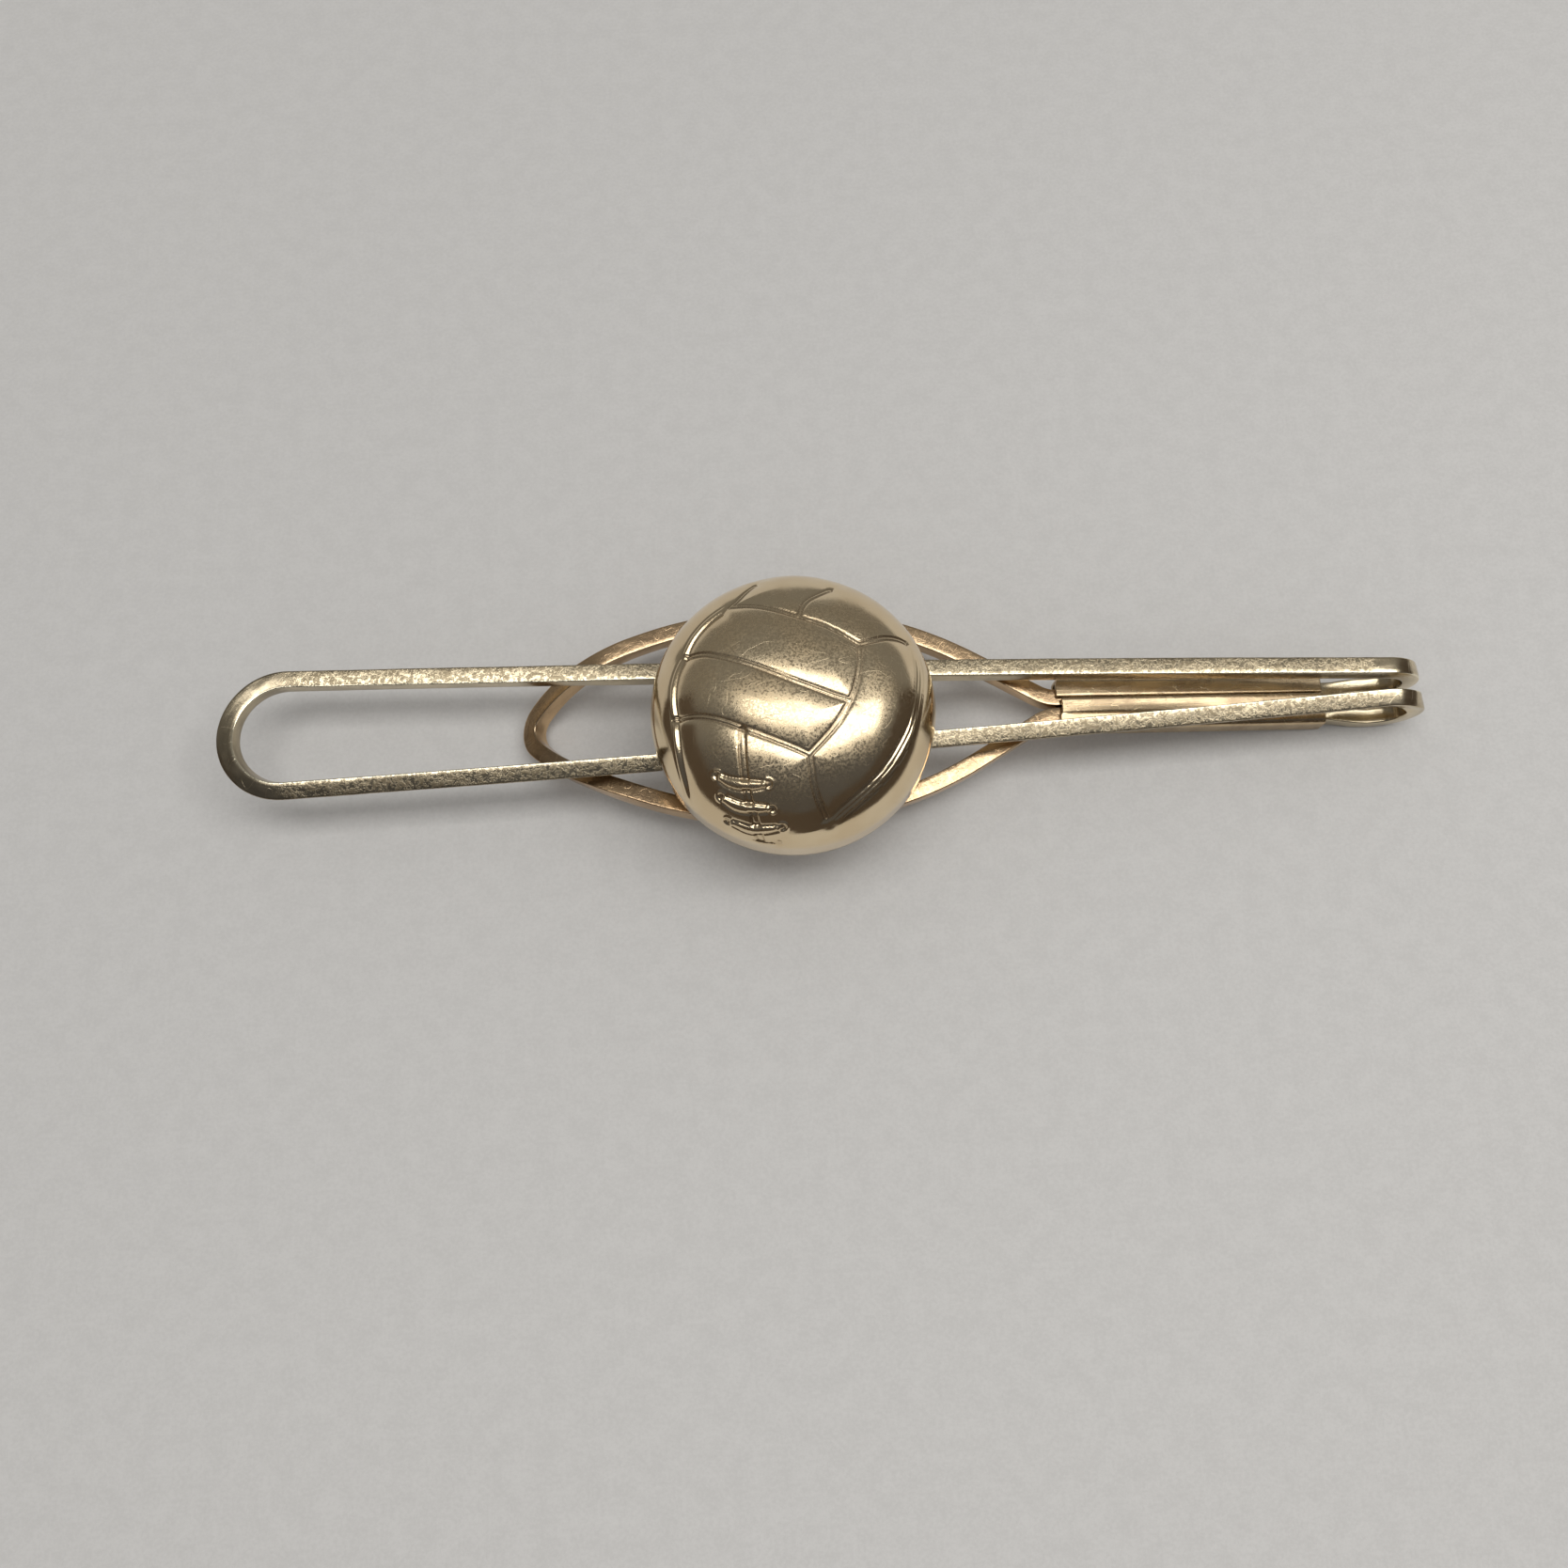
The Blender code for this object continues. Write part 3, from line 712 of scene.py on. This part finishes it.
def square_faces(cuts, first=0):
    """The quads of that grid, whose points are numbered from `first`."""
    faces = []
    for row in range(cuts):
        for column in range(cuts):
            low = first + row * (cuts + 1) + column
            faces.append((low, low + cuts + 1, low + cuts + 2, low + 1))
    return faces


def square_border(cuts, first=0):
    """The grid's border points in order, all the way round."""
    bottom = [first + row * (cuts + 1) for row in range(cuts)]
    right = [first + cuts * (cuts + 1) + column for column in range(cuts)]
    top = [first + row * (cuts + 1) + cuts for row in range(cuts, 0, -1)]
    left = [first + column for column in range(cuts, 0, -1)]
    return bottom + right + top + left


def ball_dome(material):
    """The stamped outside, the straight skirt, the rim and a plain inside."""
    centre = (BALL_X, 0.0, BALL_Z)
    directions = square_to_dome(DOME_CUTS)
    smooth = directions * DOME_SHAPE
    normals = unit_rows(directions / DOME_SHAPE)
    height, groove = ball_relief(smooth)
    fade = smoothstep(0.03, 0.30, directions[:, 2])
    waves = 0.022 * soft_noise(smooth, 2.6, 21) + 0.005 * soft_noise(smooth, 0.8, 22) - 0.015
    outside = smooth + normals * ((height + waves) * fade)[:, None] + centre
    faces = square_faces(DOME_CUTS)
    border = square_border(DOME_CUTS)
    points = [outside]
    count = len(outside)
    rim = outside[border] - BALL_PLACE
    rim_angles = np.arctan2(rim[:, 1], rim[:, 0])
    ring_directions = np.column_stack([np.cos(rim_angles), np.sin(rim_angles)])
    soften = 0.08
    profile = [(BALL_RADIUS, BALL_Z - SKIRT_HEIGHT * share) for share in (0.2, 0.4, 0.6, 0.8)]
    profile += [(BALL_RADIUS, DOME_BOTTOM + soften),
                (BALL_RADIUS - soften * 0.3, DOME_BOTTOM + soften * 0.3),
                (BALL_RADIUS - soften, DOME_BOTTOM), (BALL_RADIUS - DOME_SHEET, DOME_BOTTOM)]
    previous = border
    for radius, level in profile:
        ring = np.column_stack([ring_directions * radius, np.full(len(border), level)])
        points.append(ring + BALL_PLACE)
        current = list(range(count, count + len(border)))
        count += len(border)
        for index in range(len(border)):
            after = (index + 1) % len(border)
            faces.append((previous[index], current[index], current[after], previous[after]))
        previous = current
    points.append(square_to_dome(INNER_CUTS) * (DOME_SHAPE - DOME_SHEET) + centre)
    faces += [tuple(reversed(face)) for face in square_faces(INNER_CUTS, count)]
    inner_border = square_border(INNER_CUTS, count)
    ratio = DOME_CUTS // INNER_CUTS
    for index in range(len(inner_border)):
        after = (index + 1) % len(inner_border)
        fan = [previous[(index * ratio + step) % len(previous)] for step in range(ratio + 1)]
        faces.append(tuple([inner_border[after], inner_border[index]] + fan))
    points = np.vstack(points)
    depth = np.zeros(len(points))
    depth[:len(groove)] = groove * fade
    make_piece("dome", points, faces, "front", ("ball_dome",), material, {"groove": depth})


def backing_disc(material):
    """A flat disc with softened edges and a vent hole, a little wavy."""
    soften = 0.05
    low = DISC_BOTTOM
    high = DISC_BOTTOM + DISC_THICKNESS
    spans = np.linspace(VENT_RADIUS + soften, DISC_RADIUS - soften, 26)
    profile = [(VENT_RADIUS, low + soften)] + [(radius, low) for radius in spans]
    profile += [(DISC_RADIUS, low + soften), (DISC_RADIUS, high - soften), (DISC_RADIUS - soften, high)]
    profile += [(VENT_RADIUS + soften, high), (VENT_RADIUS, high - soften)]
    angles = np.linspace(0.0, math.tau, DISC_CUTS, endpoint=False)
    rings = [np.column_stack([radius * np.cos(angles), radius * np.sin(angles), np.full(DISC_CUTS, level)])
             for radius, level in profile]
    points = np.vstack(rings)
    points[:, 2] += np.where(points[:, 2] < low + 0.2, 0.010 * soft_noise(points, 1.8, 31), 0.0)
    faces = [tuple(reversed(face)) for face in grid_faces(len(profile), DISC_CUTS)]
    last = (len(profile) - 1) * DISC_CUTS
    for index in range(DISC_CUTS):
        after = (index + 1) % DISC_CUTS
        faces.append((last + after, last + index, index, after))
    make_piece("backing_disc", points + BALL_PLACE, faces, "front", ("ball_backing_disc",),
               material)


def solder_fillet(name, node, side, seed, material):
    """A lumpy fillet between one leg's outer face and the disc, thinning out at both ends."""
    stations = np.linspace(-0.5, 0.5, 180)
    across = np.linspace(0.0, 1.0, 9)
    verts = []
    for share in stations:
        x = BALL_X + SOLDER_LENGTH * share
        lump = 1.0 + 0.22 * noise.noise(Vector((x * 0.8, seed, 0.0)))
        lump += 0.10 * noise.noise(Vector((x * 2.6, seed, 4.0)))
        thinning = math.sqrt(max(0.0, 1.0 - abs(2 * share) ** 8))
        size = SOLDER_SIZE * min(SOLDER_LARGEST, lump) * thinning + SOLDER_SMALLEST
        root_y = WIRE_Y + side * (leg_half_gap(x) + WIRE / 2 + RUNNING_GAP)
        root_z = LEG_Z + WIRE / 2
        verts.append((x, root_y, root_z))
        for step in across:
            hollow = 1.0 - 0.32 * math.sin(math.pi * step)
            verts.append((x, root_y + side * size * (1 - step) * hollow, root_z - size * step * hollow))
    rows, columns = len(stations), len(across) + 1
    faces = grid_faces(rows, columns) + end_faces(rows, columns)
    if side < 0:
        faces = [tuple(reversed(face)) for face in faces]
    make_piece(name, verts, faces, "front", (node,), material)


# Materials

def add_node(tree, kind, inputs=None, **settings):
    """A node with its settings, and its inputs set to values or linked to other nodes' outputs."""
    made = tree.nodes.new(kind)
    for name, value in settings.items():
        setattr(made, name, value)
    for key, value in (inputs or {}).items():
        if isinstance(value, bpy.types.NodeSocket):
            tree.links.new(value, made.inputs[key])
        else:
            made.inputs[key].default_value = value
    return made


def math_node(tree, operation, first, second=0.0, clamp=False):
    made = add_node(tree, "ShaderNodeMath", {0: first, 1: second}, operation=operation, use_clamp=clamp)
    return made.outputs[0]


def plus(tree, first, second):
    return math_node(tree, "ADD", first, second)


def minus(tree, first, second):
    return math_node(tree, "SUBTRACT", first, second)


def times(tree, first, second):
    return math_node(tree, "MULTIPLY", first, second)


def attribute_node(tree, name, output="Fac"):
    return add_node(tree, "ShaderNodeAttribute", attribute_name=name).outputs[output]


def noise_node(tree, coordinates, scale, detail=2.0, roughness=0.5):
    inputs = {"Vector": coordinates, "Scale": scale, "Detail": detail, "Roughness": roughness}
    return add_node(tree, "ShaderNodeTexNoise", inputs).outputs["Fac"]


def range_node(tree, value, low, high, new_low=0.0, new_high=1.0):
    inputs = {"Value": value, "From Min": low, "From Max": high, "To Min": new_low, "To Max": new_high}
    return add_node(tree, "ShaderNodeMapRange", inputs, interpolation_type="SMOOTHSTEP").outputs["Result"]


def stretch_node(tree, coordinates, scale, turn=(0.0, 0.0, 0.0)):
    inputs = {"Vector": coordinates, "Scale": scale, "Rotation": turn}
    return add_node(tree, "ShaderNodeMapping", inputs).outputs["Vector"]


def object_place(tree):
    """Each point's place on its object, in millimetres."""
    metres = add_node(tree, "ShaderNodeTexCoord").outputs["Object"]
    return stretch_node(tree, metres, (1 / MM, 1 / MM, 1 / MM))


def colour_mix(tree, share, first, second):
    made = add_node(tree, "ShaderNodeMix", {0: share, 6: first, 7: second}, data_type="RGBA")
    return made.outputs[2]


def scratch_lines(tree, coordinates, scale, turn, width):
    """Thin wandering lines, as scratches are: 1 on a line and 0 off it."""
    field = noise_node(tree, stretch_node(tree, coordinates, scale, turn), 1.0, 1.0)
    offset = math_node(tree, "ABSOLUTE", minus(tree, field, 0.5))
    return range_node(tree, offset, 0.0, width, 1.0, 0.0)


def new_metal(name):
    material = bpy.data.materials.new(name)
    material.use_nodes = True
    shader = material.node_tree.nodes["Principled BSDF"]
    shader.inputs["Metallic"].default_value = 1.0
    return material, material.node_tree, shader


def set_surface(tree, shader, colour, roughness, height, depth):
    """Link the colour, the roughness and a bump of that depth in millimetres."""
    tree.links.new(colour, shader.inputs["Base Color"])
    tree.links.new(roughness, shader.inputs["Roughness"])
    bump = add_node(tree, "ShaderNodeBump", {"Height": height, "Distance": depth * MM, "Strength": 1.0})
    tree.links.new(bump.outputs["Normal"], shader.inputs["Normal"])


def wire_finish(name, bright, dark, pit_colour, pitting, rubbing):
    """Worn plating on drawn wire: pits, lengthwise draw lines, stray scratches, inner edges burnished and
    painted brighter as a highlight line, and painted shade from a point layer.

    `pitting` is how strong the pits are, and `rubbing` how burnished the edges are and how strong their
    painted highlight, from 0 to 1."""
    material, tree, shader = new_metal(name)
    place = attribute_node(tree, "place", "Vector")
    painted_shade = attribute_node(tree, "painted_shade")
    ends = attribute_node(tree, "ends")
    axes = add_node(tree, "ShaderNodeSeparateXYZ", {"Vector": place}).outputs
    inner = range_node(tree, times(tree, axes["Y"], -1.0), 0.34, 0.40)
    top = range_node(tree, axes["Z"], 0.34, 0.42)
    edge = times(tree, times(tree, inner, top), rubbing)
    calm = minus(tree, 1.0, times(tree, ends, 0.85))
    pits = range_node(tree, noise_node(tree, place, 5.6, 3.5, 0.68), 0.42, 0.61)
    upward = range_node(tree, axes["Z"], 0.25, 0.40, new_low=0.15)
    pits = times(tree, pits, times(tree, calm, upward))
    blotches = noise_node(tree, stretch_node(tree, place, (0.35, 1.0, 1.0)), 1.3, 3.0)
    blotches = range_node(tree, blotches, 0.35, 0.68)
    draw_lines = noise_node(tree, stretch_node(tree, place, (0.35, 14.0, 14.0)), 1.0)
    scratches = scratch_lines(tree, place, (1.2, 0.5, 0.5), (0.3, 0.2, 0.9), 0.006)
    # Painted shade from the point layer, added to the random tarnish blotches, darkens the colour.
    painted_shade_share = times(tree, painted_shade, 0.9)
    shade = math_node(tree, "MULTIPLY", plus(tree, painted_shade_share, blotches), 0.6, clamp=True)
    colour = colour_mix(tree, shade, bright, dark)
    pit_share = times(tree, pits, pitting)
    colour = colour_mix(tree, pit_share, colour, pit_colour)
    colour = colour_mix(tree, times(tree, scratches, 0.5), colour, bright)
    # Painted highlight: the inner top edges are mixed towards a pale colour as a bright line, on top of the
    # burnished wear.
    colour = colour_mix(tree, times(tree, edge, 0.9), colour, BURNISHED_HIGHLIGHT)
    rough = plus(tree, 0.15, times(tree, pits, 0.20 * pitting))
    rough = plus(tree, rough, times(tree, draw_lines, 0.08))
    rough = minus(tree, rough, times(tree, edge, 0.10))
    height = minus(tree, times(tree, draw_lines, 0.2), pit_share)
    height = minus(tree, height, times(tree, scratches, 0.4))
    set_surface(tree, shader, colour, rough, height, 0.0055)
    return material


def sleeve_finish():
    """Browned sheet with lengthwise rubbing, blotches and a few bright scratches."""
    material, tree, shader = new_metal("sleeve_finish")
    place = attribute_node(tree, "place", "Vector")
    blotches = range_node(tree, noise_node(tree, place, 0.9, 3.0), 0.35, 0.70)
    grain = noise_node(tree, place, 7.0, 3.0, 0.6)
    rub_lines = noise_node(tree, stretch_node(tree, place, (0.5, 9.0, 9.0)), 1.0)
    scratches = scratch_lines(tree, place, (0.8, 1.6, 1.0), (0.0, 0.3, 0.5), 0.006)
    colour = colour_mix(tree, blotches, SLEEVE_BRASS, SLEEVE_TARNISH)
    colour = colour_mix(tree, times(tree, scratches, 0.5), colour, SLEEVE_SCRATCH)
    rough = plus(tree, 0.16, times(tree, rub_lines, 0.14))
    rough = plus(tree, rough, times(tree, blotches, 0.06))
    height = plus(tree, times(tree, grain, 0.3), times(tree, rub_lines, 0.5))
    height = minus(tree, height, times(tree, scratches, 0.5))
    set_surface(tree, shader, colour, rough, height, 0.006)
    return material


def ball_finish(name, depth_attribute):
    """Polished plating, hazy and scratched on top, with tarnish where the attribute says a groove is."""
    material, tree, shader = new_metal(name)
    place = object_place(tree)
    haze = range_node(tree, noise_node(tree, place, 9.0, 4.0, 0.75), 0.30, 0.62)
    clouds = range_node(tree, noise_node(tree, place, 0.45, 3.0), 0.35, 0.65)
    level = add_node(tree, "ShaderNodeSeparateXYZ", {"Vector": place}).outputs["Z"]
    worn = range_node(tree, level, BALL_Z + 0.40 * DOME_RISE, BALL_Z + 0.92 * DOME_RISE, 0.12, 1.0)
    scratches = scratch_lines(tree, place, (0.5, 0.9, 0.5), (0.4, 0.1, 0.6), 0.004)
    cross = scratch_lines(tree, place, (0.9, 0.4, 0.6), (0.1, 0.5, -0.8), 0.004)
    scratches = times(tree, math_node(tree, "MAXIMUM", scratches, cross), worn)
    colour = colour_mix(tree, clouds, BALL_GOLD, BALL_CLOUDS)
    blur = times(tree, worn, plus(tree, 0.25, times(tree, clouds, 0.12)))
    rough = plus(tree, 0.08, times(tree, haze, blur))
    rough = plus(tree, rough, times(tree, scratches, 0.10))
    height = minus(tree, times(tree, haze, -0.25), scratches)
    if depth_attribute:
        groove = attribute_node(tree, depth_attribute)
        colour = colour_mix(tree, times(tree, groove, 0.6), colour, BALL_GROOVES)
        rough = plus(tree, rough, times(tree, groove, 0.12))
    set_surface(tree, shader, colour, rough, height, 0.0022)
    return material


def solder_finish():
    """Dull crusted solder with brighter patches."""
    material, tree, shader = new_metal("solder_finish")
    place = object_place(tree)
    crust = range_node(tree, noise_node(tree, place, 3.5, 4.0, 0.6), 0.38, 0.66)
    colour = colour_mix(tree, crust, SOLDER_BRIGHT, SOLDER_CRUST)
    rough = range_node(tree, crust, 0.0, 1.0, 0.30, 0.60)
    set_surface(tree, shader, colour, rough, crust, 0.03)
    return material


def paper_finish():
    """Pale paper with a fine grain, with painted shade making it a little darker towards the far left."""
    material = bpy.data.materials.new("paper_finish")
    material.use_nodes = True
    tree = material.node_tree
    shader = tree.nodes["Principled BSDF"]
    shader.inputs["Roughness"].default_value = 0.85
    shader.inputs["Specular IOR Level"].default_value = 0.2
    place = object_place(tree)
    grain = noise_node(tree, place, 5.0, 3.0, 0.7)
    axes = add_node(tree, "ShaderNodeSeparateXYZ", {"Vector": place}).outputs
    across = minus(tree, axes["X"], axes["Y"])
    soft = noise_node(tree, place, 0.9, 3.0, 0.6)
    mottle = plus(tree, times(tree, grain, 0.6), times(tree, soft, 0.4))
    colour = colour_mix(tree, range_node(tree, mottle, 0.35, 0.65), PAPER_LIGHT, PAPER_DARK)
    # Painted shade: darker towards the far left, fading out beyond about 70 mm.
    colour = colour_mix(tree, range_node(tree, across, -70.0, 70.0, 0.22, 0.0), colour, PAPER_PAINTED_SHADE)
    tree.links.new(colour, shader.inputs["Base Color"])
    bump = add_node(tree, "ShaderNodeBump", {"Height": mottle, "Distance": 0.012 * MM, "Strength": 1.0})
    tree.links.new(bump.outputs["Normal"], shader.inputs["Normal"])
    return material


# Floor, light and camera

def paper_floor():
    """A square of paper 4 m wide."""
    half = 2.0
    corners = [(-half, -half, 0.0), (half, -half, 0.0), (half, half, 0.0), (-half, half, 0.0)]
    mesh = bpy.data.meshes.new("paper_floor")
    mesh.from_pydata(corners, [], [(0, 1, 2, 3)])
    mesh.materials.append(paper_finish())
    floor = bpy.data.objects.new("paper_floor", mesh)
    bpy.context.collection.objects.link(floor)


def softbox():
    """The key light: a long area light that looks down at the clip's middle."""
    data = bpy.data.lights.new("key", "AREA")
    data.shape = "RECTANGLE"
    data.size = KEY_LENGTH
    data.size_y = KEY_WIDTH
    data.energy = KEY_POWER
    data.color = KEY_COLOUR
    lamp = bpy.data.objects.new("key", data)
    lean_x, lean_y = (math.tan(math.radians(lean)) for lean in KEY_LEAN)
    direction = Vector((lean_x, lean_y, 1.0)).normalized()
    across = Vector((1.0, 0.0, 0.0))
    across = (across - direction * across.dot(direction)).normalized()
    axes = Matrix((across, direction.cross(across), direction)).transposed().to_4x4()
    lamp.matrix_world = Matrix.Translation(direction * KEY_DISTANCE) @ axes
    bpy.context.collection.objects.link(lamp)


def studio_room():
    """What the metal reflects: a pale room towards +Y and a dimmer one towards -Y. The paper gets an even
    fill instead, and the camera sees a plain backdrop."""
    world = bpy.data.worlds.new("studio")
    world.use_nodes = True
    bpy.context.scene.world = world
    tree = world.node_tree
    background = tree.nodes["Background"]
    direction = add_node(tree, "ShaderNodeTexCoord").outputs["Generated"]
    axes = add_node(tree, "ShaderNodeSeparateXYZ", {"Vector": direction}).outputs
    share = range_node(tree, axes["Y"], -0.45, 0.35)
    room = colour_mix(tree, share, ROOM_DIM, ROOM_PALE)
    rays = add_node(tree, "ShaderNodeLightPath").outputs
    room = colour_mix(tree, rays["Is Diffuse Ray"], room, ROOM_FILL)
    room = colour_mix(tree, rays["Is Camera Ray"], room, ROOM_BACKDROP)
    tree.links.new(room, background.inputs["Color"])


def dark_flag():
    """A dark curved card round the -Y side that only reflections see, for contrast in the metal."""
    angles = np.radians(np.linspace(*FLAG_ANGLES, 60))
    low = [(FLAG_RADIUS * math.cos(a), FLAG_RADIUS * math.sin(a), 0.0) for a in angles]
    high = [(x, y, FLAG_HEIGHT) for x, y, _ in low]
    count = len(low)
    faces = [(index, index + 1, count + index + 1, count + index) for index in range(count - 1)]
    mesh = bpy.data.meshes.new("dark_flag")
    mesh.from_pydata(low + high, [], faces)
    material = bpy.data.materials.new("dark_flag")
    material.use_nodes = True
    shader = material.node_tree.nodes["Principled BSDF"]
    shader.inputs["Base Color"].default_value = FLAG_COLOUR
    shader.inputs["Roughness"].default_value = 1.0
    mesh.materials.append(material)
    flag = bpy.data.objects.new("dark_flag", mesh)
    flag.visible_camera = False
    flag.visible_diffuse = False
    flag.visible_shadow = False
    flag.visible_transmission = False
    bpy.context.collection.objects.link(flag)


def camera():
    """Looking down on the clip from the -Y side."""
    data = bpy.data.cameras.new("camera")
    data.sensor_width = CAMERA_SENSOR
    data.lens = CAMERA_LENS
    data.clip_start = 0.001
    eye = bpy.data.objects.new("camera", data)
    tilt = Matrix.Rotation(math.radians(CAMERA_TILT), 4, "X")
    roll = Matrix.Rotation(math.radians(CAMERA_ROLL), 4, "Z")
    eye.matrix_world = Matrix.Translation(Vector(CAMERA_PLACE) * MM) @ tilt @ roll
    bpy.context.collection.objects.link(eye)
    bpy.context.scene.camera = eye
    bpy.context.scene.view_settings.view_transform = "Standard"


def main():
    front_wire(wire_finish("frame_wire_finish", WIRE_GOLD, WIRE_TARNISH_AND_SHADE, WIRE_PITS, 0.85, 1.0))
    rear_loop(wire_finish("loop_wire_finish", LOOP_COPPER, LOOP_TARNISH_AND_SHADE, LOOP_PITS, 0.3, 0.25))
    crimp_sleeve(sleeve_finish())
    ball_dome(ball_finish("ball_finish", "groove"))
    backing_disc(ball_finish("disc_finish", None))
    solder = solder_finish()
    solder_fillet("solder_fillet_far", "solder_far", 1.0, 41, solder)
    solder_fillet("solder_fillet_near", "solder_near", -1.0, 57, solder)
    paper_floor()
    softbox()
    studio_room()
    dark_flag()
    camera()


main()
